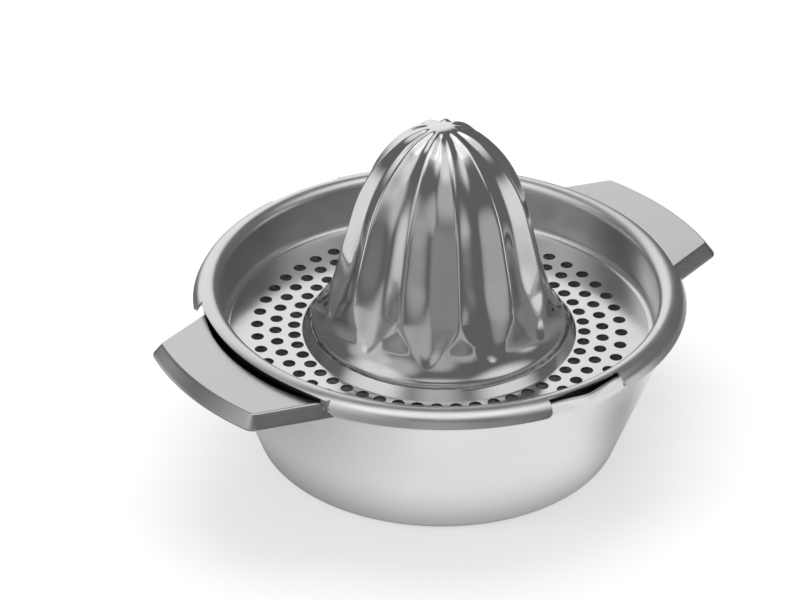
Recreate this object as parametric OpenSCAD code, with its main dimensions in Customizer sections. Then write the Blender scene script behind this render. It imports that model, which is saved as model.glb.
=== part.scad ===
// Citrus juicer pressed from stainless sheet: a pouring bowl with two wing handles welded to it,
// and a perforated strainer carrying a fluted reamer cone, which lifts straight off the bowl.
// Millimetres, +Z up, origin at the middle of the base. Handles lie along X, pouring lips along Y.

/* [Bowl] */
// Sheet thickness of the bowl and the handles
bowl_t = 0.8; // [0.6:0.05:1.2]
// Outer radius of the wall where it would meet the base plane
base_r = 48.5; // [46:0.1:52]
// Outer radius of the upright neck
top_r = 63.8; // [62:0.1:68]
// Height of the top edge
bowl_h = 45.5; // [40:0.1:56]
// Height of the upright neck below the top edge
neck_h = 4.4; // [3:0.1:7]
// Bend radius between base and wall, at mid sheet
base_bend = 3.2; // [2:0.1:5]
// Bend radius between wall and neck, at mid sheet
neck_bend = 6; // [3:0.5:10]
// Distance from the outer radius of the base to the raised panel in its middle
panel_inset = 8.5; // [7.5:0.1:14]
// Height of the raised panel over the standing ring
panel_h = 0.8; // [0.6:0.1:1.2]
// Bend radius at the edge of the raised panel, at mid sheet
panel_bend = 0.9; // [0.7:0.1:1]

/* [Pouring lips] */
// Half the width of a lip at the top edge
lip_half = 9.3; // [7:0.1:11]
// How far the nose of a lip stands out from the wall
lip_reach = 1.4; // [1.3:0.1:3]
// Lean of the nose line, in degrees from upright
lip_lean = 24; // [23:0.5:30]
// Outer radius of the nose
lip_nose = 5; // [3:0.5:8]

/* [Handles] */
// Length of a handle beyond the strainer rim
handle_len = 16; // [12:0.5:24]
// Half the width of a handle at the strainer rim
handle_root_half = 28.8; // [24:0.1:32]
// Half the width of a handle at its outer edge
handle_tip_half = 23.2; // [18:0.1:26]
// Corner radius of the outline
handle_corner = 4; // [3:0.1:6]
// How far the top face lies below the bowl's edge
handle_below = 1.2; // [0.8:0.1:2]
// Depth of the turned-down edge, from the top face
handle_lip = 3.9; // [3:0.1:6]
// Bend radius of the turned-down edge, at mid sheet
handle_bend = 1.1; // [0.8:0.1:1.5]

/* [Strainer] */
// Sheet thickness of the strainer and the reamer cone
strainer_t = 0.7; // [0.5:0.05:0.9]
// Clearance between the bowl's edge and the rim that sits over it
seat_gap = 0.3; // [0.3:0.05:0.6]
// Clearance between the bowl and the skirt around it
skirt_gap = 0.5; // [0.4:0.05:2]
// Clearance between the bowl and the strainer wall, at the rim
wall_gap_top = 1.5; // [0.7:0.05:1.8]
// Clearance between the bowl and the strainer wall, at the tray
wall_gap_low = 0.3; // [0.3:0.05:1]
// Height of the skirt below the rim's top
skirt_h = 3.5; // [3.2:0.1:6]
// How far the skirt spreads out towards its lower edge
skirt_flare = 1.5; // [0:0.1:2]
// Depth of the tray below the rim's top
tray_depth = 13.8; // [10:0.1:18]
// Bend radius between tray and wall, at mid sheet
tray_bend = 2.5; // [1.5:0.1:4]
// Bend radius at the inner side of the rim, at mid sheet
rim_bend_in = 1.6; // [1.2:0.1:1.7]
// Bend radius at the outer side of the rim, at mid sheet
rim_bend_out = 2; // [1.2:0.1:2.2]
// How far the rim is cut back over a handle
handle_cut = 1.1; // [0.8:0.1:1.6]
// How far the rim is cut back over a pouring lip
lip_cut = 2.2; // [1:0.1:2.4]
// Room between a handle and the ends of its notch
notch_gap = 1.3; // [0.8:0.1:2.5]
// Room between a pouring lip and the ends of its notch
lip_gap = 2.4; // [1.2:0.1:3]
// Cut on the lower corners of the skirt
skirt_corner = 1.6; // [0.5:0.1:2.5]
// Share of that cut at which its two flats meet
skirt_corner_mid = 0.3; // [0.2:0.05:0.4]

/* [Holes] */
// Rings of holes in the tray
rings = 3; // [1:1:3]
// Holes in each ring
ring_holes = 48; // [24:4:56]
// Diameter of a hole
hole_d = 3.45; // [2:0.05:4]
// Distance from the reamer's foot to the first ring
ring_inset = 4.5; // [3:0.1:6]
// Distance between rings
ring_pitch = 5; // [4.5:0.1:5.5]

/* [Reamer cone] */
// Height of the tip above the tray
reamer_h = 62.5; // [56:0.5:68]
// Radius of the foot
foot_r = 34.8; // [33:0.1:36]
// Height of the upright step at the foot
foot_h = 2.45; // [1.5:0.05:3.5]
// Width of the flange that is spot-welded to the tray
foot_flange = 4; // [3:0.1:5]
// Radius of the rounded shoulder over the step
shoulder_r = 2.7; // [1.5:0.1:3.5]
// Radius of the hollow collar above the shoulder
collar_r = 14.2; // [10:0.1:18]
// Lean of the surface where shoulder and collar meet, in degrees from upright
collar_lean = 45; // [35:1:55]
// Lean of the straight flank, in degrees from upright
flank_lean = 14.2; // [11:0.1:16]
// Length of the straight flank
flank_len = 27.3; // [23:0.1:32]
// Radius of the rounded tip
tip_r = 16.5; // [14:0.1:19]

/* [Flutes] */
// Flutes around the cone
flutes = 11; // [10:1:12]
// Turn of the first ridge from +X, in degrees
ridge_turn = 178.5; // [160:0.5:200]
// Half the angle of a flute's section, in degrees
flute_half = 78.4; // [76:0.1:80]
// Depth at the lower end of the flank
flute_low = 2.5; // [2:0.05:3]
// Depth at the upper end of the flank
flute_high = 2.1; // [1.6:0.05:2.4]
// Depth where the tip rounding starts
flute_tip = 0.9; // [0.6:0.05:1.1]
// Distance up the flank at which a flute reaches its depth
flute_rise = 6.2; // [4:0.1:8]
// Lean of the collar where a flute runs out, in degrees from upright
toe_lean = 35; // [30:0.5:40]
// Distance from the axis at which a flute runs out on the tip
flute_end_r = 3.2; // [2.5:0.1:5]

/* [Hidden] */
$fn = 96;
satin = [0.80, 0.80, 0.81];
polished = [0.72, 0.73, 0.75];
// overshoot of a cutting shape past the face that it cuts
over = 2;
// how far a pouring lip's prism starts below the neck, and how far its back lies inside the wall, as a
// share of the nose's height over the wall and as a share of the sheet for its inner face
lip_bury = 3;
lip_back = 1.25;
lip_back_inner = 1.5;
// least and greatest share of the half pitch that a flute's facets take, and the share on a plain ring
flute_least = 0.12;
flute_most = 0.94;
flute_plain = 0.75;

// bowl wall: a cone up to the neck, then upright
neck_z = bowl_h - neck_h;
panel_r = base_r - panel_inset;
wall_lean = atan((top_r - base_r) / neck_z);
function wall_out(z) = min(base_r + z * tan(wall_lean), top_r);
function wall_in(z) = min(base_r + z * tan(wall_lean) - bowl_t / cos(wall_lean), top_r - bowl_t);

// strainer levels and radii, at mid sheet unless named as a face
rim_top = bowl_h + seat_gap + strainer_t;
rim_z = rim_top - strainer_t / 2;
rim_r = top_r + skirt_gap + strainer_t;
skirt_r = rim_r - strainer_t / 2;
skirt_low_r = skirt_r + skirt_flare;
skirt_z = rim_top - skirt_h;
tray_top = rim_top - tray_depth;
tray_z = tray_top - strainer_t / 2;
tray_hole_r = foot_r - foot_flange;
wall_r_top = wall_in(bowl_h) - wall_gap_top - strainer_t / 2;
wall_r_low = wall_in(tray_z) - wall_gap_low - strainer_t / 2;

// handle plane and outline
handle_top = bowl_h - handle_below;
handle_r = rim_r + handle_len;
handle_notch = asin(handle_root_half / rim_r) + notch_gap / rim_r * 180 / PI;
handle_notch_r = rim_r - handle_cut;
lip_notch = asin(lip_half / rim_r) + lip_gap / rim_r * 180 / PI;
lip_notch_r = rim_r - lip_cut;

// plane geometry
function unit(v) = v / norm(v);
function left(v) = [-v[1], v[0]];
function dir(a) = [cos(a), sin(a)];
function bearing(v) = atan2(v[1], v[0]);
function reversed(v) = [for (i = [len(v) - 1:-1:0]) v[i]];
function flipped(v) = [for (p = reversed(v)) [p[0], -p[1]]];

// points of the reamer's section, from its foot up; lean angles are also those of the outward normal
foot_top = [foot_r, tray_top + foot_h];
shoulder_c = foot_top - [shoulder_r, 0];
collar_start = shoulder_c + shoulder_r * dir(collar_lean);
collar_c = collar_start + collar_r * dir(collar_lean);
flank_n = dir(flank_lean);
flank_start = collar_c - collar_r * flank_n;
flank_end = flank_start + flank_len * left(flank_n);
tip_c = [0, tray_top + reamer_h - tip_r];
tip_to_flank = flank_end - tip_c;
crown_r = (tip_to_flank * tip_to_flank - tip_r * tip_r) / (2 * (tip_to_flank * flank_n - tip_r));
crown_c = flank_end - crown_r * flank_n;
tip_n = unit(tip_c - crown_c);
tip_lean = bearing(tip_n);

// depth of a flute at each height, from its toe on the collar to its end on the tip
toe = collar_c - collar_r * dir(toe_lean);
flute_full = flank_start + flute_rise * left(flank_n);
tip_start = tip_c + tip_r * tip_n;
flute_end = [flute_end_r, tip_c[1] + sqrt(tip_r * tip_r - flute_end_r * flute_end_r)];
flute_depths = [[toe[1], 0], [flute_full[1], flute_low], [flank_end[1], flute_high],
                [tip_start[1], flute_tip], [flute_end[1], 0]];

// steps along one bend of a sheet, and along the arcs of a handle's outline
bend_steps = 6;
corner_steps = 4;
arc_steps = 14;

// Points beside a corner p between directions a and b, bent to radius r at mid sheet, at offset s to
// the left.
function bend_points(p, a, b, r, s) =
    let (turn = atan2(cross(a, b), a * b),
         way = sign(turn),
         centre = p + r * (way * left(a) - tan(abs(turn) / 2) * a))
    [for (k = [0:bend_steps]) centre + (s - way * r) * left(dir(bearing(a) + turn * k / bend_steps))];

// One face of a sheet along a row of corner points, at offset s to the left of its middle.
function sheet_face(pts, bends, s) =
    let (last = len(pts) - 1, ways = [for (i = [1:last]) unit(pts[i] - pts[i - 1])])
    concat([pts[0] + s * left(ways[0])],
           [for (i = [1:last - 1]) each bend_points(pts[i], ways[i - 1], ways[i], bends[i - 1], s)],
           [pts[last] + s * left(ways[last - 1])]);

// Section of a sheet of thickness t along a row of corner points, inner corners bent to their radii.
module sheet(pts, bends, t) {
    polygon(concat(sheet_face(pts, bends, t / 2), reversed(sheet_face(pts, bends, -t / 2))));
}

// Closed skin over rows of points, each row a ring of one length, with an end point before and after.
module skin(first, rows, last) {
    n = len(rows[0]);
    end = len(rows) * n + 1;
    function at(i, j) = 1 + i * n + j % n;
    polyhedron(
        points = concat([first], [for (row = rows) each row], [last]),
        faces = concat(
            [for (j = [0:n - 1]) [0, at(0, j + 1), at(0, j)]],
            [for (i = [0:len(rows) - 2], j = [0:n - 1]) each [
                [at(i, j), at(i, j + 1), at(i + 1, j + 1)],
                [at(i, j), at(i + 1, j + 1), at(i + 1, j)]]],
            [for (j = [0:n - 1]) [at(len(rows) - 1, j), at(len(rows) - 1, j + 1), end]]));
}

// Round-nosed vee opening along +X, with its nose at the origin, grown on all sides.
module vee(half, nose, grow, height) {
    r = nose + grow;
    arc = [for (k = [0:bend_steps]) [nose, 0] + r * dir(90 + half + (180 - 2 * half) * k / bend_steps)];
    far = arc[0] + (height - arc[0][0]) / cos(half) * dir(half);
    polygon(concat(arc, [[far[0], -far[1]], far]));
}

// Prism of a pouring lip on the +X side, grown on all sides and running past the bowl's edge.
module lip_prism(grow) {
    nose = [top_r + lip_reach, bowl_h];
    // the nose line starts inside the wall, below the neck
    rise = dir(90 - lip_lean);
    root = nose - (neck_h + lip_bury) / cos(lip_lean) * rise;
    side_x = sqrt(top_r * top_r - lip_half * lip_half);
    half = atan(lip_half / (nose[0] - side_x));
    depth = lip_back * (nose[0] - side_x) - lip_back_inner * grow;
    translate([root[0], 0, root[1]]) rotate([0, lip_lean, 0]) linear_extrude(norm(nose - root) + over)
        mirror([1, 0]) vee(half, lip_nose, grow, depth);
}

// Body of the bowl inside one face of its sheet, with its lips, running past the bowl's edge.
module bowl_body(side) {
    z = bowl_t / 2;
    base_x = base_r - bowl_t / 2 * (1 / cos(wall_lean) - tan(wall_lean));
    neck_x = top_r - bowl_t / 2;
    neck_corner = neck_z + bowl_t / 2 * tan(wall_lean / 2);
    top = bowl_h + over;
    face = sheet_face([[0, z + panel_h], [panel_r, z + panel_h], [panel_r + panel_h, z],
                       [base_x, z], [neck_x, neck_corner], [neck_x, top]],
                      [panel_bend, panel_bend, base_bend, neck_bend], side * bowl_t / 2);
    rotate_extrude() polygon(concat(face, [[0, top]]));
    for (a = [90, -90]) rotate([0, 0, a]) lip_prism(-(side + 1) / 2 * bowl_t);
}

module bowl() {
    color(satin) difference() {
        bowl_body(-1);
        bowl_body(1);
        translate([0, 0, bowl_h]) cylinder(h = 3 * over, r = handle_r);
    }
}

// Handle outline on the +X side at one height, moved inwards by an inset. Its inner edge lies on the
// bowl's wall; the rest is the same at every height.
function handle_row(z, inset) =
    let (root = [sqrt(rim_r * rim_r - handle_root_half * handle_root_half), handle_root_half],
         tip = [sqrt(handle_r * handle_r - handle_tip_half * handle_tip_half), handle_tip_half],
         side = unit(tip - root),
         side_a = bearing(left(side)),
         // centre of the corner arc, tangent to the side and to the outer arc
         line = root - handle_corner * left(side),
         reach = handle_r - handle_corner,
         corner = line + side * (sqrt(pow(line * side, 2) - line * line + reach * reach) - line * side),
         corner_a = bearing(corner),
         edge = root - inset * left(side),
         wall = wall_out(z) + inset,
         foot = edge + side * (sqrt(pow(edge * side, 2) - edge * edge + wall * wall) - edge * side),
         foot_a = bearing(foot),
         // vertices stand off the wall by the height of a chord, so that the flats between them touch it
         wall_r = wall / cos(foot_a / arc_steps),
         corner_turns = [for (k = [0:corner_steps]) corner_a + (side_a - corner_a) * k / corner_steps],
         upper = [for (q = corner_turns) corner + (handle_corner - inset) * dir(q)])
    [for (p = concat(
        flipped(upper),
        [for (k = [1:arc_steps - 1]) (handle_r - inset) * dir(corner_a * (2 * k / arc_steps - 1))],
        upper,
        [for (k = [0:arc_steps]) wall_r * dir(foot_a * (1 - 2 * k / arc_steps))])) [p[0], p[1], z]];

// Wing handle on the +X side: a pan with its edge turned down all round, welded to the bowl's wall.
module handle() {
    outer = handle_bend + bowl_t / 2;
    inner = handle_bend - bowl_t / 2;
    turns = [for (k = [0:bend_steps]) 90 * k / bend_steps];
    low = handle_top - handle_lip;
    mid = (rim_r + handle_r) / 2;
    bend_z = handle_top - outer;
    skin([mid, 0, handle_top],
         concat([for (q = turns) handle_row(bend_z + outer * cos(q), outer - outer * sin(q))],
                [handle_row(low, 0), handle_row(low, bowl_t)],
                [for (q = reversed(turns)) handle_row(bend_z + inner * cos(q), outer - inner * sin(q))]),
         [mid, 0, handle_top - bowl_t]);
}

module handle_left() {
    color(satin) rotate([0, 0, 180]) handle();
}

module handle_right() {
    color(satin) handle();
}

// Notch in the skirt about +X: cuts the rim back to a radius, and takes off the lower corners beside it.
module skirt_notch(r, half) {
    far = (skirt_low_r + over) / cos(half);
    translate([0, 0, skirt_z - over]) linear_extrude(skirt_h + 2 * over) difference() {
        polygon([[0, 0], far * dir(-half), far * dir(half)]);
        circle(r);
    }
    // the two flats of a corner cut meet at depth q, and run on past both edges
    q = skirt_corner_mid * skirt_corner;
    e = 2 * skirt_corner - q;
    corner = [[-over, -over], [e, -over], [e, -q], [q, q], [-q, e], [-over, e]];
    for (s = [-1, 1]) rotate([0, 0, s * half])
        translate([skirt_low_r - over, 0, skirt_z]) rotate([90, 0, 90]) linear_extrude(2 * over)
            polygon([for (p = corner) [s * p[0], p[1]]]);
}

module strainer() {
    color(polished) difference() {
        rotate_extrude()
            sheet([[tray_hole_r, tray_z], [wall_r_low, tray_z], [wall_r_top, rim_z],
                   [skirt_r, rim_z], [skirt_low_r, skirt_z]],
                  [tray_bend, rim_bend_in, rim_bend_out], strainer_t);
        for (a = [0, 180]) rotate([0, 0, a]) skirt_notch(handle_notch_r, handle_notch);
        for (a = [90, 270]) rotate([0, 0, a]) skirt_notch(lip_notch_r, lip_notch);
        // the middle ring is set half a pitch round from its neighbours
        for (ring = [0:rings - 1], i = [0:ring_holes - 1])
            rotate([0, 0, (i + (ring % 2) / 2) * 360 / ring_holes])
                translate([foot_r + ring_inset + ring * ring_pitch, 0, tray_z - over])
                    cylinder(h = 2 * over, d = hole_d);
    }
}

// Stations down an arc of the reamer's section, each a point and the lean of its outward normal.
function arc_stations(centre, r, from, to, steps) =
    [for (k = [1:steps]) let (q = from + (to - from) * k / steps) [centre + r * dir(q), q]];

// Stations down the whole section from beside the tip to the foot, which ends at height z.
function stations(z, fine) =
    concat(arc_stations(tip_c, tip_r, 90, tip_lean, 2 * fine),
           arc_stations(crown_c, crown_r, tip_lean, flank_lean, 2 * fine),
           [for (p = [flute_full, flank_start]) [p, flank_lean]],
           arc_stations(collar_c, -collar_r, flank_lean, toe_lean, 2 * fine),
           arc_stations(collar_c, -collar_r, toe_lean, collar_lean, fine),
           arc_stations(shoulder_c, shoulder_r, collar_lean, 0, fine + 1),
           [[[foot_r, z], 0]]);

// Ring of points at a station, its flutes cut in and the whole face moved inwards by an inset.
function reamer_row(station, inset) =
    let (p = station[0], lean = station[1],
         half_pitch = PI / flutes,
         depth = lookup(p[1], flute_depths),
         slope = 1 / tan(flute_half),
         bulge = p[0] / cos(lean),
         width = bulge * (sqrt(slope * slope + 2 * depth / bulge) - slope),
         // share of the half pitch that the flute takes; a plain ring is shared out evenly
         share = min(max(width / (p[0] * half_pitch), flute_least), flute_most),
         edge = depth > 0 ? share : flute_plain,
         shares = [-1, -(1 + edge) / 2, -edge, -edge / 2, 0, edge / 2, edge, (1 + edge) / 2])
    [for (i = [0:flutes - 1], u = shares)
        let (y = abs(u) * p[0] * half_pitch,
             cut = max(0, depth - y * slope - y * y / (2 * bulge)),
             q = p - (cut + inset) * dir(lean),
             turn = ridge_turn + (i + 0.5 + u / 2) * 360 / flutes)
        [q[0] * cos(turn), q[0] * sin(turn), q[1]]];

module reamer_cone() {
    outer = stations(tray_top, 2);
    inner = stations(tray_top + strainer_t, 1);
    flange = [for (z = [tray_top, tray_top + strainer_t]) [[tray_hole_r, z], 0]];
    tip_z = tray_top + reamer_h;
    color(polished)
        skin([0, 0, tip_z],
             concat([for (s = concat(outer, flange)) reamer_row(s, 0)],
                    [for (s = reversed(inner)) reamer_row(s, strainer_t)]),
             [0, 0, tip_z - strainer_t]);
}

bowl();
handle_left();
handle_right();
strainer();
reamer_cone();
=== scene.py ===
import math
import bpy
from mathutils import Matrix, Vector


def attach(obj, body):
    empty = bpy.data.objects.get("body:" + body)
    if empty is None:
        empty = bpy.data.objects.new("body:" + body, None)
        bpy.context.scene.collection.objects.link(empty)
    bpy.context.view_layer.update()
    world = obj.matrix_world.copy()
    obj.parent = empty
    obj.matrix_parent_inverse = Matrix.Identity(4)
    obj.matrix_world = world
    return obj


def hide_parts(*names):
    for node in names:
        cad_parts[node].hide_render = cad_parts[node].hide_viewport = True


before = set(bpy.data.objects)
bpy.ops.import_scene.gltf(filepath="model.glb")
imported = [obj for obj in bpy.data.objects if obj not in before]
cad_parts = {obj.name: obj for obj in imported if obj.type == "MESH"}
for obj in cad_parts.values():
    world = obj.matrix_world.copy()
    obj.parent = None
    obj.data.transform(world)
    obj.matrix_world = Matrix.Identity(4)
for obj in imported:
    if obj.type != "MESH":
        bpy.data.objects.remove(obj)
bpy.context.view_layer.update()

mm = 0.001


def clearSelection():
    if bpy.context.mode != "OBJECT":
        bpy.ops.object.mode_set(mode="OBJECT")
    bpy.ops.object.select_all(action="DESELECT")


def pick(obj):
    clearSelection()
    obj.select_set(True)
    bpy.context.view_layer.objects.active = obj


def radius(p):
    return math.hypot(p[0], p[1])


# mid line of a sheet along corner points, each inner corner bent to its radius
def bentLine(corners, bends, steps=10):
    pts = [Vector(c) for c in corners]
    line = [pts[0]]
    for i in range(1, len(pts) - 1):
        a = (pts[i] - pts[i - 1]).normalized()
        b = (pts[i + 1] - pts[i]).normalized()
        turn = math.atan2(a.x * b.y - a.y * b.x, a.dot(b))
        way = math.copysign(1, turn)
        leftA = Vector((-a.y, a.x))
        centre = pts[i] + bends[i - 1] * (way * leftA - math.tan(abs(turn) / 2) * a)
        start = math.atan2(a.y, a.x)
        for k in range(steps + 1):
            q = start + turn * k / steps
            line.append(centre - way * bends[i - 1] * Vector((-math.sin(q), math.cos(q))))
    line.append(pts[-1])
    return line


# extra points on long straight runs above a height
def denser(line, gap, above=-1.0):
    out = [line[0]]
    for a, b in zip(line, line[1:]):
        n = max(1, math.ceil((b - a).length / gap)) if min(a.y, b.y) >= above else 1
        out += [a.lerp(b, k / n) for k in range(1, n + 1)]
    return out


# a point drawn along the section, then spun about the upright axis
def lathe(name, line, steps):
    clearSelection()
    bpy.ops.mesh.primitive_plane_add(size=mm)
    obj = bpy.context.object
    obj.name = name
    bpy.ops.object.mode_set(mode="EDIT")
    bpy.ops.mesh.select_mode(type="VERT")
    bpy.ops.mesh.select_all(action="SELECT")
    bpy.ops.mesh.merge(type="CENTER")
    bpy.ops.transform.translate(value=(line[0][0] * mm, 0, line[0][1] * mm))
    for a, b in zip(line, line[1:]):
        move = ((b[0] - a[0]) * mm, 0, (b[1] - a[1]) * mm)
        bpy.ops.mesh.extrude_vertices_move(TRANSFORM_OT_translate={"value": move})
    bpy.ops.mesh.select_all(action="SELECT")
    bpy.ops.mesh.spin(steps=steps, angle=2 * math.pi, center=(0, 0, 0), axis=(0, 0, 1))
    bpy.ops.mesh.select_all(action="SELECT")
    bpy.ops.mesh.remove_doubles(threshold=2e-6)
    bpy.ops.mesh.normals_make_consistent(inside=False)
    bpy.ops.object.mode_set(mode="OBJECT")
    return obj


# sheet thickness, softened cut edges and smooth shading, all applied
def finishSheet(obj, thickness, offset, edge, angle=32, edgeAngle=50):
    pick(obj)
    wall = obj.modifiers.new("thickness", "SOLIDIFY")
    wall.thickness = thickness * mm
    wall.offset = offset
    bpy.ops.object.modifier_apply(modifier=wall.name)
    bpy.ops.object.shade_smooth_by_angle(angle=math.radians(angle))
    if edge:
        soft = obj.modifiers.new("edges", "BEVEL")
        soft.width = edge * mm
        soft.segments = 2
        soft.limit_method = "ANGLE"
        soft.angle_limit = math.radians(edgeAngle)
        soft.harden_normals = True
        bpy.ops.object.modifier_apply(modifier=soft.name)


def linear(hexText):
    parts = [int(hexText[i:i + 2], 16) / 255 for i in (1, 3, 5)]
    return tuple(c / 12.92 if c <= 0.04045 else ((c + 0.055) / 1.055) ** 2.4 for c in parts) + (1.0,)


def addNode(tree, kind, inputs=None, **settings):
    node = tree.nodes.new(kind)
    for key, value in settings.items():
        setattr(node, key, value)
    for key, value in (inputs or {}).items():
        if isinstance(value, bpy.types.NodeSocket):
            tree.links.new(value, node.inputs[key])
        else:
            node.inputs[key].default_value = value
    return node


def newMaterial(name):
    material = bpy.data.materials.new(name)
    material.use_nodes = True
    return material, material.node_tree, material.node_tree.nodes["Principled BSDF"]


# distance of a place from the upright axis
def axisDistance(tree, coords):
    flat = addNode(tree, "ShaderNodeVectorMath", {0: coords.outputs["Object"], 1: (1, 1, 0)},
                   operation="MULTIPLY")
    away = addNode(tree, "ShaderNodeVectorMath", {0: flat.outputs["Vector"]}, operation="LENGTH")
    return away.outputs["Value"]


# satin stainless: fine brush lines spread highlights wide and leave a soft grey sheen
bowlLook = {"light": "#EBEBEA", "dark": "#DADAD9", "rough": 0.34, "roughSpread": 0.06,
            "lines": (60, 60, 0.45), "marks": 20}
handleLook = {"light": "#C6C6C5", "dark": "#BDBDBC", "rough": 0.25, "roughSpread": 0.04,
              "lines": (40, 0.5, 40), "marks": 20}


def satinSteel(name, satinLook):
    material, tree, shader = newMaterial(name)
    shader.inputs["Metallic"].default_value = 1.0
    coords = addNode(tree, "ShaderNodeTexCoord")
    # brush lines, drawn coarser than the real ones so that they show
    perMetre = tuple(1 / (size * mm) for size in satinLook["lines"])
    lay = addNode(tree, "ShaderNodeMapping", {"Vector": coords.outputs["Object"], "Scale": perMetre})
    lines = addNode(tree, "ShaderNodeTexNoise",
                    {"Vector": lay.outputs["Vector"], "Scale": 1.0, "Detail": 3.0, "Roughness": 0.6})
    # handling marks
    marks = addNode(tree, "ShaderNodeTexNoise",
                    {"Vector": coords.outputs["Object"], "Scale": 1 / (satinLook["marks"] * mm),
                     "Detail": 2.0})
    colour = addNode(tree, "ShaderNodeMix", {"Factor": lines.outputs["Fac"], "A": linear(satinLook["dark"]),
                                             "B": linear(satinLook["light"])}, data_type="RGBA")
    tree.links.new(colour.outputs["Result"], shader.inputs["Base Color"])
    low = satinLook["rough"] - satinLook["roughSpread"]
    high = satinLook["rough"] + satinLook["roughSpread"]
    mixed = addNode(tree, "ShaderNodeMath", {0: lines.outputs["Fac"], 1: marks.outputs["Fac"]},
                    operation="ADD")
    rough = addNode(tree, "ShaderNodeMapRange", {"Value": mixed.outputs["Value"], "From Min": 0.6,
                                                 "From Max": 1.4, "To Min": low, "To Max": high})
    tree.links.new(rough.outputs["Result"], shader.inputs["Roughness"])
    bump = addNode(tree, "ShaderNodeBump", {"Height": lines.outputs["Fac"], "Strength": 0.06,
                                            "Distance": 0.04 * mm})
    tree.links.new(bump.outputs["Normal"], shader.inputs["Normal"])
    return material


# mirror-polished stainless: clear dark and white reflections, a little wavy from the press
reamerLook = {"light": "#DADADB", "dark": "#CECED0", "rough": 0.10, "roughSpread": 0.03,
              "smudges": 14, "scratches": 0.5, "waves": 9}
strainerLook = {"light": "#DADADB", "dark": "#CECED0", "rough": 0.17, "roughSpread": 0.04,
                "smudges": 14, "scratches": 0.5, "waves": 9,
                "wallFrom": 57.0, "wallTo": 58.5, "wallRough": 0.14}


def polishedSteel(name, polishLook):
    material, tree, shader = newMaterial(name)
    shader.inputs["Metallic"].default_value = 1.0
    coords = addNode(tree, "ShaderNodeTexCoord")
    smudges = addNode(tree, "ShaderNodeTexNoise",
                      {"Vector": coords.outputs["Object"], "Scale": 1 / (polishLook["smudges"] * mm),
                       "Detail": 4.0})
    scratches = addNode(tree, "ShaderNodeTexNoise",
                        {"Vector": coords.outputs["Object"], "Scale": 1 / (polishLook["scratches"] * mm),
                         "Detail": 2.0})
    colour = addNode(tree, "ShaderNodeMix",
                     {"Factor": smudges.outputs["Fac"], "A": linear(polishLook["dark"]),
                      "B": linear(polishLook["light"])}, data_type="RGBA")
    tree.links.new(colour.outputs["Result"], shader.inputs["Base Color"])
    low = polishLook["rough"] - polishLook["roughSpread"]
    high = polishLook["rough"] + polishLook["roughSpread"]
    rough = addNode(tree, "ShaderNodeMapRange", {"Value": smudges.outputs["Fac"], "From Min": 0.3,
                                                 "From Max": 0.7, "To Min": low, "To Max": high})
    roughness = rough.outputs["Result"]
    # a drawn wall keeps more of the press's drag than a tray does
    if "wallRough" in polishLook:
        wall = addNode(tree, "ShaderNodeMapRange",
                       {"Value": axisDistance(tree, coords), "From Min": polishLook["wallFrom"] * mm,
                        "From Max": polishLook["wallTo"] * mm, "To Max": polishLook["wallRough"]})
        rougher = addNode(tree, "ShaderNodeMath", {0: roughness, 1: wall.outputs["Result"]}, operation="ADD")
        roughness = rougher.outputs["Value"]
    tree.links.new(roughness, shader.inputs["Roughness"])
    # press waves, and polishing grain on top
    waves = addNode(tree, "ShaderNodeTexNoise",
                    {"Vector": coords.outputs["Object"], "Scale": 1 / (polishLook["waves"] * mm),
                     "Detail": 1.0})
    wavy = addNode(tree, "ShaderNodeBump", {"Height": waves.outputs["Fac"], "Strength": 0.35,
                                            "Distance": 0.12 * mm})
    grain = addNode(tree, "ShaderNodeBump", {"Height": scratches.outputs["Fac"], "Strength": 0.05,
                                             "Distance": 0.02 * mm, "Normal": wavy.outputs["Normal"]})
    tree.links.new(grain.outputs["Normal"], shader.inputs["Normal"])
    return material


# painted shade: the bowl's neck coloured near-black in the crevice under the strainer's rim beside each
# handle
creviceShadeLook = {"colour": "#2A2928", "side": 58.0, "above": 42.6, "away": 63.4}


def paintCreviceShade(material):
    tree = material.node_tree
    shader = tree.nodes["Principled BSDF"]
    coords = addNode(tree, "ShaderNodeTexCoord")
    part = addNode(tree, "ShaderNodeSeparateXYZ", {"Vector": coords.outputs["Object"]})
    side = addNode(tree, "ShaderNodeMath", {0: part.outputs["X"]}, operation="ABSOLUTE")
    measures = {"side": side.outputs["Value"], "above": part.outputs["Z"], "away": axisDistance(tree, coords)}
    mask = None
    for name, value in measures.items():
        test = addNode(tree, "ShaderNodeMath", {0: value, 1: creviceShadeLook[name] * mm}, operation="GREATER_THAN")
        if mask:
            test = addNode(tree, "ShaderNodeMath", {0: mask, 1: test.outputs["Value"]}, operation="MULTIPLY")
        mask = test.outputs["Value"]
    # painted shade laid over the brushed colour
    before = shader.inputs["Base Color"].links[0].from_socket
    colour = addNode(tree, "ShaderNodeMix", {"Factor": mask, "A": before, "B": linear(creviceShadeLook["colour"])},
                     data_type="RGBA")
    tree.links.new(colour.outputs["Result"], shader.inputs["Base Color"])


bowlSteel = satinSteel("satin_steel_bowl", bowlLook)
# painted shade in the crevices beside the handles
paintCreviceShade(bowlSteel)
handleSteel = satinSteel("satin_steel_handle", handleLook)
strainerSteel = polishedSteel("polished_steel_strainer", strainerLook)
reamerSteel = polishedSteel("polished_steel_reamer", reamerLook)
print("materials made")

# bowl: spun section, with a vee lip pressed out at the front and at the back
bowlSet = {"t": 0.8, "edge": 0.16, "baseR": 48.5, "topR": 63.8, "high": 45.5, "neck": 4.4,
           "baseBend": 3.2, "neckBend": 6.0, "panelR": 40.0, "panelH": 0.8, "panelBend": 0.9,
           "lipHalf": 9.3, "lipReach": 1.4, "lipLean": 24.0, "lipNose": 5.0, "lipDrop": 6.0, "lipBeside": 3.0,
           "lipBlend": 0.04, "columns": 384, "rowGap": 0.7}
neckZ = bowlSet["high"] - bowlSet["neck"]
wallLean = math.atan((bowlSet["topR"] - bowlSet["baseR"]) / neckZ)


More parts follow.
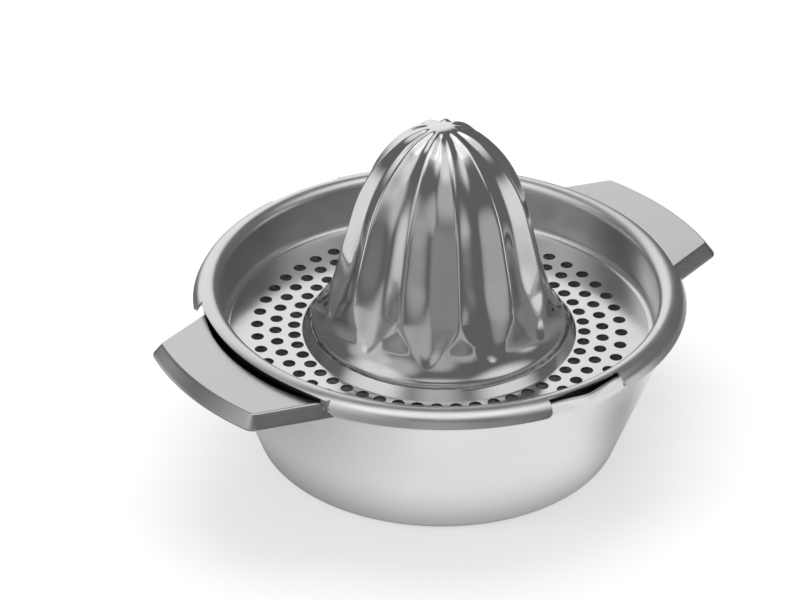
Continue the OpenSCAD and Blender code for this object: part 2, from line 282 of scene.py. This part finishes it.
def wallOut(z):
    return min(bowlSet["baseR"] + z * math.tan(wallLean), bowlSet["topR"])


def wallIn(z):
    sloped = bowlSet["baseR"] + z * math.tan(wallLean) - bowlSet["t"] / math.cos(wallLean)
    return min(sloped, bowlSet["topR"] - bowlSet["t"])


def makeBowl():
    s = bowlSet
    z = s["t"] / 2
    baseX = s["baseR"] - z * (1 / math.cos(wallLean) - math.tan(wallLean))
    neckX = s["topR"] - z
    corners = [(0, z + s["panelH"]), (s["panelR"], z + s["panelH"]), (s["panelR"] + s["panelH"], z),
               (baseX, z), (neckX, neckZ + z * math.tan(wallLean / 2)), (neckX, s["high"])]
    line = bentLine(corners, [s["panelBend"], s["panelBend"], s["baseBend"], s["neckBend"]])
    obj = lathe("juicer_bowl", denser(line, s["rowGap"], neckZ - s["lipDrop"]), s["columns"])
    # the press moves the wall out to a round-nosed vee that leans outwards
    noseX = s["topR"] + s["lipReach"]
    sideX = math.sqrt(s["topR"] ** 2 - s["lipHalf"] ** 2)
    slope = (noseX - sideX) / (s["lipHalf"] - s["lipNose"] * 0.2)
    soft = slope * s["lipNose"]
    for v in obj.data.vertices:
        x, y, h = (c / mm for c in v.co)
        if h < neckZ - s["lipDrop"] or abs(y) < s["baseR"] or abs(x) > s["lipHalf"] + s["lipBeside"]:
            continue
        r = math.hypot(x, y)
        nose = noseX - (s["high"] - h) * math.tan(math.radians(s["lipLean"])) - s["t"] / 2
        lipY = nose - slope * (math.sqrt(x * x + soft * soft) - soft)
        lipR = math.hypot(lipY, x)
        gap = lipR - r
        grown = r + 0.5 * (gap + math.sqrt(gap * gap + s["lipBlend"])) if gap > -2 else r
        v.co.x *= grown / r
        v.co.y *= grown / r
    finishSheet(obj, s["t"], 0, s["edge"])
    obj.data.materials.append(bowlSteel)
    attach(obj, "bowl")
    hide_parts("bowl")
    return obj


# strainer: perforated tray, wall, rolled rim and a skirt cut back over the handles and lips
strainerSet = {"t": 0.7, "edge": 0.14, "seatGap": 0.3, "skirtGap": 0.5, "wallGapTop": 3.2, "wallGapLow": 0.3,
               "skirtH": 3.5, "flare": 1.5, "trayDepth": 13.8, "trayBend": 2.5,
               "rimIn": 2.5, "rimOut": 4.0, "rimRise": 1.0, "rimDrop": 0.05,
               "handleCut": 63.9, "cutRunOut": 0.75, "lipCut": 62.8, "notchGap": 0.8, "lipGap": 2.4,
               "corner": 1.8, "cornerCuts": (0, 0.16, 0.36, 0.62, 0.95, 1.35, 1.8),
               "holes": 48, "holeD": 3.45, "ringInset": 4.5, "ringPitch": 5.0, "rings": 3, "footFlange": 4.0,
               "columnsPerHole": 6, "bendSteps": 12, "rowGap": 1.0}
rimTop = bowlSet["high"] + strainerSet["seatGap"] + strainerSet["t"]
rimZ = rimTop - strainerSet["t"] / 2
rimR = bowlSet["topR"] + strainerSet["skirtGap"] + strainerSet["t"]
trayTop = rimTop - strainerSet["trayDepth"]
trayZ = trayTop - strainerSet["t"] / 2


# one hole in its piece of tray, copied round by spin
def makeHoleRing(ring):
    s = strainerSet
    pitch = 2 * math.pi / s["holes"]
    middle = reamerSet["footR"] + s["ringInset"] + ring * s["ringPitch"]
    side = s["columnsPerHole"]
    count = 4 * side
    lift = mm  # tells the outer points from the hole's until all are placed
    clearSelection()
    bpy.ops.mesh.primitive_circle_add(vertices=count, radius=s["holeD"] / 2 * mm)
    obj = bpy.context.object
    bpy.ops.object.mode_set(mode="EDIT")
    bpy.ops.mesh.select_all(action="SELECT")
    bpy.ops.mesh.extrude_edges_move(TRANSFORM_OT_translate={"value": (0, 0, lift)})
    bpy.ops.object.mode_set(mode="OBJECT")
    shift = (ring % 2) * pitch / 2
    edge = []
    for k in range(count):
        part, step = divmod(k, side)
        u = step / side * 2 - 1
        edge.append([(1, u), (-u, 1), (-1, -u), (u, -1)][part])
    verts = obj.data.vertices
    hole = [v.index for v in verts if v.co.z < lift / 2]
    outer = [v.index for v in verts if v.co.z >= lift / 2]
    for group, isHole in ((hole, True), (outer, False)):
        for i in group:
            around = math.atan2(verts[i].co.y, verts[i].co.x)
            k = round((around + math.pi / 4) / (2 * math.pi) * count) % count
            if isHole:
                q = -math.pi / 4 + 2 * math.pi * k / count
                x, y = middle + s["holeD"] / 2 * math.cos(q), s["holeD"] / 2 * math.sin(q)
                a, r = shift + math.atan2(y, x), math.hypot(x, y)
            else:
                a = shift + edge[k][1] * pitch / 2
                r = middle + edge[k][0] * s["ringPitch"] / 2
            verts[i].co = (r * math.cos(a) * mm, r * math.sin(a) * mm, trayZ * mm)
    pick(obj)
    bpy.ops.object.mode_set(mode="EDIT")
    bpy.ops.mesh.select_all(action="SELECT")
    bpy.ops.mesh.spin(steps=s["holes"] - 1, angle=2 * math.pi - pitch, center=(0, 0, 0), axis=(0, 0, 1),
                      dupli=True)
    bpy.ops.object.mode_set(mode="OBJECT")
    return obj


# edit mode with the faces selected whose middles pass a test
def facesWhere(obj, test):
    pick(obj)
    bpy.ops.object.mode_set(mode="EDIT")
    bpy.ops.mesh.select_mode(type="FACE")
    bpy.ops.mesh.select_all(action="DESELECT")
    bpy.ops.object.mode_set(mode="OBJECT")
    for f in obj.data.polygons:
        f.select = test(f.center / mm)
    bpy.ops.object.mode_set(mode="EDIT")


# angle from the middle of the nearest notch, with that notch's half angle and cut radius
def notchAt(p, notches):
    a = math.degrees(math.atan2(p[1], p[0]))
    best = None
    for middle, half, cut in notches:
        off = abs((a - middle + 90) % 180 - 90)
        if best is None or off - half < best[0] - best[1]:
            best = (off, half, cut)
    return best


def makeStrainer():
    s = strainerSet
    ringOut = reamerSet["footR"] + s["ringInset"] + (s["rings"] - 0.5) * s["ringPitch"]
    ringIn = reamerSet["footR"] + s["ringInset"] - s["ringPitch"] / 2
    wallTop = wallIn(bowlSet["high"]) - s["wallGapTop"] - s["t"] / 2
    wallLow = wallIn(trayZ) - s["wallGapLow"] - s["t"] / 2
    skirtR = rimR - s["t"] / 2
    skirtZ = rimTop - s["skirtH"]
    corners = [(ringOut, trayZ), (wallLow, trayZ), (wallTop, rimZ + s["rimRise"]),
               (skirtR, rimZ - s["rimDrop"]), (skirtR + s["flare"], skirtZ)]
    line = bentLine(corners, [s["trayBend"], s["rimIn"], s["rimOut"]], s["bendSteps"])
    # rows of points where the notches end
    for cut in (s["lipCut"], s["handleCut"]):
        for i in range(1, len(line)):
            a, b = line[i - 1], line[i]
            if a.x < cut < b.x and b.y > rimZ - 2:
                line.insert(i, a.lerp(b, (cut - a.x) / (b.x - a.x)))
                break
    line = denser(line, s["rowGap"], skirtZ - 0.2)
    columns = s["holes"] * s["columnsPerHole"]
    wall = lathe("juicer_strainer", line, columns)
    rimCirc = 180 / math.pi / rimR
    handleHalf = math.degrees(math.asin(handleSet["rootHalf"] / rimR)) + s["notchGap"] * rimCirc
    lipHalf = math.degrees(math.asin(bowlSet["lipHalf"] / rimR)) + s["lipGap"] * rimCirc
    notches = [(0, handleHalf, s["handleCut"]), (90, lipHalf, s["lipCut"])]
    # cuts at the notch ends, and close ones beside them for the round corners
    corner = s["corner"]
    for middle, half, cut in notches:
        for way in (-1, 1):
            for beside in s["cornerCuts"]:
                q = math.radians(middle + way * (half + beside * rimCirc))
                facesWhere(wall, lambda p: radius(p) > cut)
                bpy.ops.mesh.bisect(plane_co=(0, 0, 0), plane_no=(-math.sin(q), math.cos(q), 0))

    def inNotch(p):
        off, half, cut = notchAt(p, notches)
        return off < half and radius(p) > cut
    facesWhere(wall, inNotch)
    bpy.ops.mesh.delete(type="FACE")
    bpy.ops.object.mode_set(mode="OBJECT")
    # the cut over a handle runs out over the rim's round at both ends
    outside = [p for p in line if p.x >= s["handleCut"] - 0.01 and p.y > skirtZ + 0.5]
    for v in wall.data.vertices:
        off, half, cut = notchAt(v.co / mm, notches[:1])
        r = radius(v.co) / mm
        if off >= half - 0.01 or abs(r - cut) > 0.02 or v.co.z / mm < rimZ - 2.5:
            continue
        newR = cut + s["cutRunOut"] * (off / half) ** 4
        for a, b in zip(outside, outside[1:]):
            if a.x <= newR <= b.x:
                z = a.y + (b.y - a.y) * (newR - a.x) / (b.x - a.x)
                v.co = (v.co.x * newR / r, v.co.y * newR / r, z * mm)
                break
    # lower corners beside each notch drawn up on a round
    lean = Vector((-s["flare"], s["skirtH"] - s["t"] / 2)).normalized()
    for v in wall.data.vertices:
        p = v.co / mm
        if p.z > skirtZ + 0.01 or radius(p) < skirtR:
            continue
        off, half, cut = notchAt(p, notches)
        beside = (off - half) / rimCirc
        if beside < corner:
            d = corner - max(0.0, beside)
            up = corner - math.sqrt(max(0.0, corner * corner - d * d))
            grown = (radius(p) + lean.x * up) / radius(p)
            v.co = (v.co.x * grown, v.co.y * grown, v.co.z + lean.y * up * mm)
    inner = lathe("tray_inner", [(reamerSet["footR"] - s["footFlange"], trayZ), (ringIn, trayZ)], columns)
    parts = [makeHoleRing(k) for k in range(s["rings"])]
    pick(wall)
    for part in [inner] + parts:
        part.select_set(True)
    bpy.ops.object.join()
    bpy.ops.object.mode_set(mode="EDIT")
    bpy.ops.mesh.select_all(action="SELECT")
    bpy.ops.mesh.remove_doubles(threshold=0.01 * mm)
    bpy.ops.mesh.normals_make_consistent(inside=False)
    bpy.ops.object.mode_set(mode="OBJECT")
    finishSheet(wall, s["t"], 0, s["edge"])
    wall.data.materials.append(strainerSteel)
    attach(wall, "strainer")
    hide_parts("strainer")
    return wall


def fromAngle(degrees):
    return Vector((math.cos(math.radians(degrees)), math.sin(math.radians(degrees))))


# reamer: spun section of tangent arcs with the flutes pressed into it
reamerSet = {"high": 62.5, "footR": 34.8, "footH": 2.45, "footOut": 2.3, "shoulderR": 2.7,
             "collarR": 14.2, "collarLean": 45.0, "flankLean": 14.2, "flankLen": 27.3, "tipR": 16.5,
             "flutes": 11, "turn": 178.5, "low": 2.5, "up": 2.1, "tipDepth": 0.9, "tipShare": 0.3,
             "rise": 7.4, "ease": 9.0, "toeLean": 31.5, "toeRound": 0.74, "toeSoft": 0.45, "toeBlend": 0.3,
             "ridgeSoft": 0.14, "land": 0.4, "valleySoft": 3.0, "valleyShare": 0.7,
             "crease": 0.2, "creaseSoft": 0.5, "creaseShare": 0.2, "capR": 3.1, "capFade": 1.7,
             "columnsPerFlute": 40, "crowd": 1.7, "smoothAngle": 40}
reamerRows = {"tip": 20, "crown": 10, "flank": 14, "runOut": 16, "collar": 30, "shoulder": 7, "foot": 5}


# cross section of a flute: a round valley with a little of a sharper one in it
def fluteDip(at, wide):
    s = reamerSet
    valley = min(s["valleySoft"], s["valleyShare"] * wide)
    crease = min(s["creaseSoft"], s["creaseShare"] * wide)
    return ((1 - s["crease"]) * (math.sqrt(at * at + valley * valley) - valley)
            + s["crease"] * (math.sqrt(at * at + crease * crease) - crease))


def makeReamer():
    s = reamerSet
    n = reamerRows
    footTop = Vector((s["footR"], trayTop + s["footH"]))
    shoulder = footTop - Vector((s["shoulderR"], 0))
    collarStart = shoulder + s["shoulderR"] * fromAngle(s["collarLean"])
    collar = collarStart + s["collarR"] * fromAngle(s["collarLean"])
    flankN = fromAngle(s["flankLean"])
    flankUp = Vector((-flankN.y, flankN.x))
    flankStart = collar - s["collarR"] * flankN
    flankEnd = flankStart + s["flankLen"] * flankUp
    tip = Vector((0, trayTop + s["high"] - s["tipR"]))
    q = flankEnd - tip
    crownR = (q.dot(q) - s["tipR"] ** 2) / (2 * (q.dot(flankN) - s["tipR"]))
    crown = flankEnd - crownR * flankN
    tipN = (tip - crown).normalized()
    tipLean = math.degrees(math.atan2(tipN.y, tipN.x))
    apex = flankStart + s["rise"] * flankUp
    full = apex + s["ease"] * flankUp
    toe = collar - s["collarR"] * fromAngle(s["toeLean"])
    tipStart = tip + s["tipR"] * tipN

    # rows of the section, each a point with the lean of its surface
    def arc(centre, r, a, b, steps):
        turns = [a + (b - a) * k / steps for k in range(1, steps + 1)]
        return [(centre + r * fromAngle(t), t) for t in turns]

    def run(a, b, lean, steps):
        return [(a.lerp(b, k / steps), lean) for k in range(1, steps + 1)]
    rows = [(Vector((0, trayTop + s["high"])), 90.0)]
    rows += arc(tip, s["tipR"], 90, tipLean, n["tip"])
    rows += arc(crown, crownR, tipLean, s["flankLean"], n["crown"])
    rows += run(flankEnd, apex, s["flankLean"], n["flank"])
    rows += run(apex, flankStart, s["flankLean"], n["runOut"])
    rows += arc(collar, -s["collarR"], s["flankLean"], s["collarLean"], n["collar"])
    rows += arc(shoulder, s["shoulderR"], s["collarLean"], 0, n["shoulder"])
    footEnd = Vector((s["footR"] + s["footOut"], trayTop))
    rows += run(footTop, footEnd, 0.0, n["foot"])
    line = [p for p, lean in rows] + [Vector((s["footR"] - strainerSet["footFlange"], trayTop))]
    obj = lathe("juicer_reamer", line, s["columnsPerFlute"] * s["flutes"])
    depths = [(full.y, s["low"]), (flankEnd.y, s["up"]), (tipStart.y, s["tipDepth"]),
              (tip.y + s["tipR"], s["tipDepth"])]

    def between(table, h):
        for (z0, d0), (z1, d1) in zip(table, table[1:]):
            if z0 <= h <= z1:
                return d0 + (d1 - d0) * (h - z0) / max(z1 - z0, 1e-9)
        return 0.0
    leans = sorted((p.y, lean) for p, lean in rows)
    pitch = 2 * math.pi / s["flutes"]
    for v in obj.data.vertices:
        p = v.co / mm
        h, r = p.z, radius(p)
        if r < 0.1:
            continue
        # columns crowd towards the ridges, which are narrow lands
        turns = (math.atan2(p.y, p.x) / pitch) % s["flutes"]
        count = math.floor(turns + 1e-4)
        across = 2 * (turns - count) - 1
        across = math.copysign(1 - (1 - min(1.0, abs(across))) ** s["crowd"], across)
        angle = math.radians(s["turn"]) + (count + 0.5 + across / 2) * pitch
        lean = math.radians(between(leans, h))
        bulge = r / max(0.05, math.cos(lean))
        half = pitch / 2 * r
        y = abs(across) * half
        # a flute runs out to a rounded toe on the collar, and its floor curves up to it
        wide, depth, soft = half - s["land"], between(depths, h), s["ridgeSoft"]
        if h < full.y:
            along = max(0.0, (h - toe.y) / (full.y - toe.y))
            depth = s["low"] * along * (2 - along)
            soft += s["toeSoft"] * (1 - along)
            vee = half * (max(0.0, h - toe.y) / (apex.y - toe.y)) ** s["toeRound"]
            wide = 0.5 * (vee + wide - math.sqrt((vee - wide) ** 2 + s["toeBlend"]))
        # near the tip it is only as deep as its width allows, and stops at a small round cap
        fade = min(1.0, max(0.0, (r - s["capR"]) / s["capFade"]))
        depth = min(depth, s["tipShare"] * half + half * half / (2 * bulge)) * fade * fade * (3 - 2 * fade)
        wide = max(wide, s["tipShare"] * half) if h > full.y else wide
        cut = 0.0
        if depth > 0 and wide > 0.05:
            side = max(0.0, depth - wide * wide / (2 * bulge)) / fluteDip(wide, wide)
            cut = depth - side * fluteDip(y, wide) - y * y / (2 * bulge)
            ridge = min(soft, 0.5 * depth)
            cut = min(depth, 0.5 * (cut + math.sqrt(cut * cut + ridge * ridge)))
        newR = r - cut * math.cos(lean)
        v.co = (newR * math.cos(angle) * mm, newR * math.sin(angle) * mm, (h - cut * math.sin(lean)) * mm)
    finishSheet(obj, strainerSet["t"], -1, 0, s["smoothAngle"])
    obj.data.materials.append(reamerSteel)
    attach(obj, "strainer")
    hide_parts("reamer_cone")
    return obj


# rows of points, each a closed loop, as one skin: a grid takes their places and its ends are filled
def skinRows(name, rows):
    clearSelection()
    n = len(rows[0])
    bpy.ops.mesh.primitive_grid_add(x_subdivisions=n, y_subdivisions=len(rows) - 1, size=mm)
    obj = bpy.context.object
    obj.name = name
    for i, v in enumerate(obj.data.vertices):
        row, k = divmod(i, n + 1)
        v.co = Vector(rows[row][k % n]) * mm
    bpy.ops.object.mode_set(mode="EDIT")
    bpy.ops.mesh.select_mode(type="VERT")
    bpy.ops.mesh.select_all(action="SELECT")
    bpy.ops.mesh.remove_doubles(threshold=0.001 * mm)
    bpy.ops.mesh.fill_holes(sides=0)
    bpy.ops.mesh.select_all(action="SELECT")
    bpy.ops.mesh.normals_make_consistent(inside=False)
    bpy.ops.object.mode_set(mode="OBJECT")
    return obj


# handle: a plate with its edge turned down, welded to the bowl
handleSet = {"length": 16.0, "rootHalf": 29.3, "tipHalf": 23.2, "corner": 4.0, "below": 1.2, "lip": 3.9,
             "bend": 0.7, "lipSlope": 54.0, "hem": 0.3, "rootGap": 1.15, "rootClear": 0.06,
             "topInset": 0.4, "smoothAngle": 35}


def makeHandle(name, node, turned):
    s = handleSet
    t = bowlSet["t"]
    top = bowlSet["high"] - s["below"]
    outR = rimR + s["length"]
    root = Vector((math.sqrt(rimR ** 2 - s["rootHalf"] ** 2), s["rootHalf"]))
    end = Vector((math.sqrt(outR ** 2 - s["tipHalf"] ** 2), s["tipHalf"]))
    side = (end - root).normalized()
    out = Vector((-side.y, side.x))
    sideA = math.degrees(math.atan2(out.y, out.x))
    start = root - s["corner"] * out
    reach = outR - s["corner"]

    # where a line along the handle's side meets a circle round the bowl's axis
    def meets(p, r):
        ahead = p.dot(side)
        return p + side * (math.sqrt(ahead ** 2 - p.dot(p) + r ** 2) - ahead)
    corner = meets(start, reach)
    cornerA = math.degrees(math.atan2(corner.y, corner.x))

    # outline at a height, drawn in by an inset; its inner edge stands off the bowl's wall by a gap
    def loop(z, inset, gap):
        wall = wallOut(z) + s["rootClear"]
        near = meets(root - inset * out, wall)
        nearA = math.degrees(math.atan2(near.y, near.x))
        upper = [(outR - inset) * fromAngle(cornerA * k / 20) for k in range(20)]
        turns = [cornerA + (sideA - cornerA) * k / 12 for k in range(13)]
        upper += [corner + (s["corner"] - inset) * fromAngle(q) for q in turns]
        upper += [upper[-1].lerp(near, k / 6) for k in range(1, 6)]
        # the gap is widest in the middle and closes at both ends
        for k in range(25):
            part = 1 - k / 24
            off = max(0.0, gap - s["rootClear"]) * (1 - part ** 3)
            upper.append((wall + off) * fromAngle(nearA * part))
        flat = upper + [Vector((p.x, -p.y)) for p in reversed(upper[1:-1])]
        return [(turned * p.x, turned * p.y, z) for p in flat]
    low = top - s["lip"]
    gap, hem, bend = s["rootGap"], s["hem"], s["bend"]
    slope = math.radians(s["lipSlope"])
    face = Vector((math.sin(slope), math.cos(slope)))
    # the lip slopes out from the fold to its rounded cut edge
    edgeIn, edgeZ = hem - hem * face.x, low + hem + hem * face.y
    fold = edgeIn + (top - edgeZ) / math.tan(slope)
    lead = bend * math.tan(slope / 2)

    # the gap narrows to nothing over the lip's lowest 2 mm
    def rootGap(z):
        return gap * min(1.0, max(0.0, (z - low - hem) / 2.0))
    topIn = fold + lead + s["topInset"]
    rows = [loop(top, topIn, gap + 0.8), loop(top, fold + lead, gap + 0.3)]
    for k in range(1, 7):
        q = slope * k / 6
        rows.append(loop(top - bend + bend * math.cos(q), fold + lead - bend * math.sin(q), gap + 0.1 / k))
    startZ, startIn = top - lead * math.sin(slope), fold - lead * math.cos(slope)
    for k in range(1, 6):
        z = startZ + (edgeZ - startZ) * k / 5
        rows.append(loop(z, startIn + (edgeIn - startIn) * k / 5, rootGap(z)))
    for k in range(1, 8):
        q = math.pi / 2 - slope - math.pi * k / 7 * (1 - slope / math.pi)
        rows.append(loop(low + hem + hem * math.sin(q), hem - hem * math.cos(q), 0.05))
    # underside, a sheet's thickness behind the lip and the top
    backIn = edgeIn + t * face.x
    innerFold = backIn + (top - t - low) / math.tan(slope)
    rows += [loop(low, backIn - 0.05, t - 0.1), loop(low + 0.1, backIn + 0.07, t)]
    rows += [loop(top - t - 0.3, innerFold - 0.22, t + 0.3), loop(top - t, innerFold + 0.1, t + 0.5)]
    rows += [loop(top - t, topIn, gap + 0.9)]
    obj = skinRows(name, rows)
    pick(obj)
    bpy.ops.object.shade_smooth_by_angle(angle=math.radians(s["smoothAngle"]))
    obj.data.materials.append(handleSteel)
    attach(obj, "bowl")
    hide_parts(node)
    return obj


bowlPiece = makeBowl()
print("bowl made", len(bowlPiece.data.polygons))
strainerPiece = makeStrainer()
print("strainer made", len(strainerPiece.data.polygons))
reamerPiece = makeReamer()
print("reamer made", len(reamerPiece.data.polygons))
rightPiece = makeHandle("juicer_handle_right", "handle_right", 1)
leftPiece = makeHandle("juicer_handle_left", "handle_left", -1)
print("handles made", len(rightPiece.data.polygons), len(leftPiece.data.polygons))

# floor, lamps, and a grey tent with soft bright fields that only the metal sees
stageSet = {"floor": "#F4F4F3", "floorGlow": 0.55, "topSize": 1.1, "topPower": 12.0,
            "sideSize": (0.4, 0.9), "sidePower": 5.0,
            "ambient": 0.75, "tent": 0.16, "seenFrom": (0, 0, 0.06),
            # metres from the middle over which the board's reflection changes with painted shade and shadow,
            # and its levels
            "fallTo": 150, "fall": (0.015, 0.11), "fallLevel": 0.10,
            "foot": (0.046, 0.058), "footLevel": 0.25,
            "patch": (0.046, -0.05, 0), "patchR": 0.032, "patchLevel": 0.4, "far": (0.11, 0.26),
            # azimuth and elevation, angles of the full and the fading part, level
            "cards": {"back": (72, 20, 24, 35, 0.95), "above": (-127, 80, 15, 33, 1.10),
                      "front": (-127, 20, 6, 20, 0.35), "right": (-38, 0, 6, 20, 0.80),
                      "left": (127, -8, 8, 22, 0.85), "farLeft": (165, 15, 8, 26, 0.50),
                      "frontRight": (-102, 2, 6, 20, 0.35), "frontLeft": (-165, 30, 5, 22, 0.40),
                      "upperRight": (-52, 52, 8, 28, 0.80), "upperLeft": (162, 52, 8, 28, 0.80),
                      "low": (-150, -8, 6, 30, 0.16)}}


def direction(azimuth, elevation):
    a, e = math.radians(azimuth), math.radians(elevation)
    return Vector((math.cos(a) * math.cos(e), math.sin(a) * math.cos(e), math.sin(e)))


# brightness of the surroundings in the direction of a place, as the reamer sees it
def cardLight(tree):
    coords = addNode(tree, "ShaderNodeTexCoord")
    seen = addNode(tree, "ShaderNodeVectorMath", {0: coords.outputs["Object"], 1: stageSet["seenFrom"]},
                   operation="SUBTRACT")
    toward = addNode(tree, "ShaderNodeVectorMath", {0: seen.outputs["Vector"]}, operation="NORMALIZE")
    total = None
    for azimuth, elevation, full, fade, level in stageSet["cards"].values():
        near = addNode(tree, "ShaderNodeVectorMath",
                       {0: toward.outputs["Vector"], 1: direction(azimuth, elevation)},
                       operation="DOT_PRODUCT")
        card = addNode(tree, "ShaderNodeMapRange",
                       {"Value": near.outputs["Value"], "From Min": math.cos(math.radians(fade)),
                        "From Max": math.cos(math.radians(full)), "To Min": 0.0, "To Max": level},
                       interpolation_type="SMOOTHSTEP")
        before = total.outputs["Value"] if total else stageSet["tent"]
        total = addNode(tree, "ShaderNodeMath", {0: card.outputs["Result"], 1: before}, operation="ADD")
    return total.outputs["Value"]


def makeFloor():
    s = stageSet
    clearSelection()
    bpy.ops.mesh.primitive_plane_add(size=14)
    floor = bpy.context.object
    floor.name = "floor"
    # matt white board; part of it is lit from below like a light table, which keeps its shadow pale
    material, tree, shader = newMaterial("white_board")
    shader.inputs["Base Color"].default_value = linear(s["floor"])
    shader.inputs["Roughness"].default_value = 0.9
    shader.inputs["Specular IOR Level"].default_value = 0.0
    path = addNode(tree, "ShaderNodeLightPath")
    share = addNode(tree, "ShaderNodeMath", {0: path.outputs["Is Camera Ray"], 1: s["floorGlow"]},
                    operation="MULTIPLY")
    share = addNode(tree, "ShaderNodeMath", {0: share.outputs["Value"], 1: path.outputs["Is Glossy Ray"]},
                    operation="MAXIMUM")
    share = addNode(tree, "ShaderNodeMath",
                    {0: share.outputs["Value"], 1: path.outputs["Is Transmission Ray"]}, operation="MAXIMUM")
    # painted shade: the board's glow, as the metal sees it, darkens towards the left
    coords = addNode(tree, "ShaderNodeTexCoord")
    aside = addNode(tree, "ShaderNodeVectorMath", {0: coords.outputs["Object"], 1: direction(s["fallTo"], 0)},
                    operation="DOT_PRODUCT")
    fall = addNode(tree, "ShaderNodeMapRange",
                   {"Value": aside.outputs["Value"], "From Min": s["fall"][0], "From Max": s["fall"][1],
                    "To Min": 1.0, "To Max": s["fallLevel"]})
    # painted shadow: the glow the metal sees is darker close to the bowl's foot and in a patch at the right
    away = addNode(tree, "ShaderNodeVectorMath", {0: coords.outputs["Object"]}, operation="LENGTH")
    foot = addNode(tree, "ShaderNodeMapRange",
                   {"Value": away.outputs["Value"], "From Min": s["foot"][0], "From Max": s["foot"][1],
                    "To Min": s["footLevel"], "To Max": 1.0})
    patch = addNode(tree, "ShaderNodeVectorMath", {0: coords.outputs["Object"], 1: s["patch"]},
                    operation="DISTANCE")
    shade = addNode(tree, "ShaderNodeMapRange",
                    {"Value": patch.outputs["Value"], "From Max": s["patchR"], "To Min": s["patchLevel"]},
                    interpolation_type="SMOOTHSTEP")
    dark = addNode(tree, "ShaderNodeMath", {0: foot.outputs["Result"], 1: shade.outputs["Result"]},
                   operation="MULTIPLY")
    close = addNode(tree, "ShaderNodeMath", {0: fall.outputs["Result"], 1: dark.outputs["Value"]},
                    operation="MULTIPLY")
    # far off it joins the tent's light
    far = addNode(tree, "ShaderNodeMapRange",
                  {"Value": away.outputs["Value"], "From Min": s["far"][0], "From Max": s["far"][1]},
                  interpolation_type="SMOOTHSTEP")
    level = addNode(tree, "ShaderNodeMix", {"Factor": far.outputs["Result"], "A": close.outputs["Value"],
                                            "B": cardLight(tree)}, data_type="FLOAT")
    level = addNode(tree, "ShaderNodeMath", {0: level.outputs["Result"], 1: path.outputs["Is Camera Ray"]},
                    operation="MAXIMUM")
    glow = addNode(tree, "ShaderNodeEmission",
                   {"Color": linear("#FFFFFF"), "Strength": level.outputs["Value"]})
    mix = addNode(tree, "ShaderNodeMixShader", {0: share.outputs["Value"], 1: shader.outputs["BSDF"],
                                                2: glow.outputs["Emission"]})
    tree.links.new(mix.outputs["Shader"], tree.nodes["Material Output"].inputs["Surface"])
    floor.data.materials.append(material)


def makeTent():
    clearSelection()
    bpy.ops.mesh.primitive_uv_sphere_add(segments=64, ring_count=32, radius=4)
    tent = bpy.context.object
    tent.name = "tent"
    bpy.ops.object.mode_set(mode="EDIT")
    bpy.ops.mesh.select_all(action="SELECT")
    bpy.ops.mesh.bisect(plane_co=(0, 0, 0.02), plane_no=(0, 0, 1), clear_inner=True)
    bpy.ops.object.mode_set(mode="OBJECT")
    tent.visible_camera = False
    tent.visible_diffuse = False
    tent.visible_shadow = False
    material = bpy.data.materials.new("tent_cloth")
    material.use_nodes = True
    tree = material.node_tree
    tree.nodes.clear()
    glow = addNode(tree, "ShaderNodeEmission", {"Color": linear("#FFFFFF"), "Strength": cardLight(tree)})
    addNode(tree, "ShaderNodeOutputMaterial", {"Surface": glow.outputs["Emission"]})
    tent.data.materials.append(material)


def makeLamp(name, place, aim, size, power):
    light = bpy.data.lights.new(name, "AREA")
    light.shape = "RECTANGLE"
    light.size, light.size_y = size
    light.energy = power
    lamp = bpy.data.objects.new(name, light)
    lamp.visible_glossy = False
    lamp.location = place
    lamp.rotation_euler = (Vector(aim) - Vector(place)).to_track_quat("-Z", "Y").to_euler()
    bpy.context.collection.objects.link(lamp)


makeFloor()
makeTent()
aimAt = (0, 0, 0.04)
topSize = (stageSet["topSize"], stageSet["topSize"])
makeLamp("top_softbox", (0.25, 0.35, 1.3), aimAt, topSize, stageSet["topPower"])
makeLamp("left_softbox", (-1.4, 0.3, 0.9), aimAt, stageSet["sideSize"], stageSet["sidePower"])

world = bpy.data.worlds.new("studio")
bpy.context.scene.world = world
world.use_nodes = True
tree = world.node_tree
tree.nodes.clear()
# the white background shows to the camera and in the metal, and a softer level lights the scene
path = addNode(tree, "ShaderNodeLightPath")
seen = addNode(tree, "ShaderNodeMath", {0: path.outputs["Is Camera Ray"], 1: path.outputs["Is Glossy Ray"]},
               operation="MAXIMUM")
seen = addNode(tree, "ShaderNodeMath", {0: seen.outputs["Value"], 1: path.outputs["Is Transmission Ray"]},
               operation="MAXIMUM")
ambient = addNode(tree, "ShaderNodeBackground", {"Color": (1, 1, 1, 1), "Strength": stageSet["ambient"]})
white = addNode(tree, "ShaderNodeBackground", {"Color": (1, 1, 1, 1), "Strength": 1.0})
mix = addNode(tree, "ShaderNodeMixShader", {0: seen.outputs["Value"], 1: ambient.outputs["Background"],
                                            2: white.outputs["Background"]})
addNode(tree, "ShaderNodeOutputWorld", {"Surface": mix.outputs["Shader"]})

# camera at the photograph's viewing angle, with its slight roll
cameraSet = {"place": (-0.5808, -0.7666, 0.6289), "aim": (0.0043, 0.0238, 0.0282), "lens": 188.0,
             "sensor": 36.0, "roll": 0.8}
camera = bpy.data.objects.new("camera", bpy.data.cameras.new("camera"))
camera.data.lens = cameraSet["lens"]
camera.data.sensor_width = cameraSet["sensor"]
camera.location = cameraSet["place"]
look = (Vector(cameraSet["aim"]) - Vector(cameraSet["place"])).to_track_quat("-Z", "Y").to_matrix()
roll = math.radians(cameraSet["roll"])
tilt = look.copy()
tilt.col[0] = look.col[0] * math.cos(roll) + look.col[1] * math.sin(roll)
tilt.col[1] = look.col[1] * math.cos(roll) - look.col[0] * math.sin(roll)
camera.rotation_euler = tilt.to_euler()
bpy.context.collection.objects.link(camera)
bpy.context.scene.camera = camera
bpy.context.scene.view_settings.view_transform = "Standard"
print("stage and camera made")

clearSelection()
bpy.context.view_layer.update()
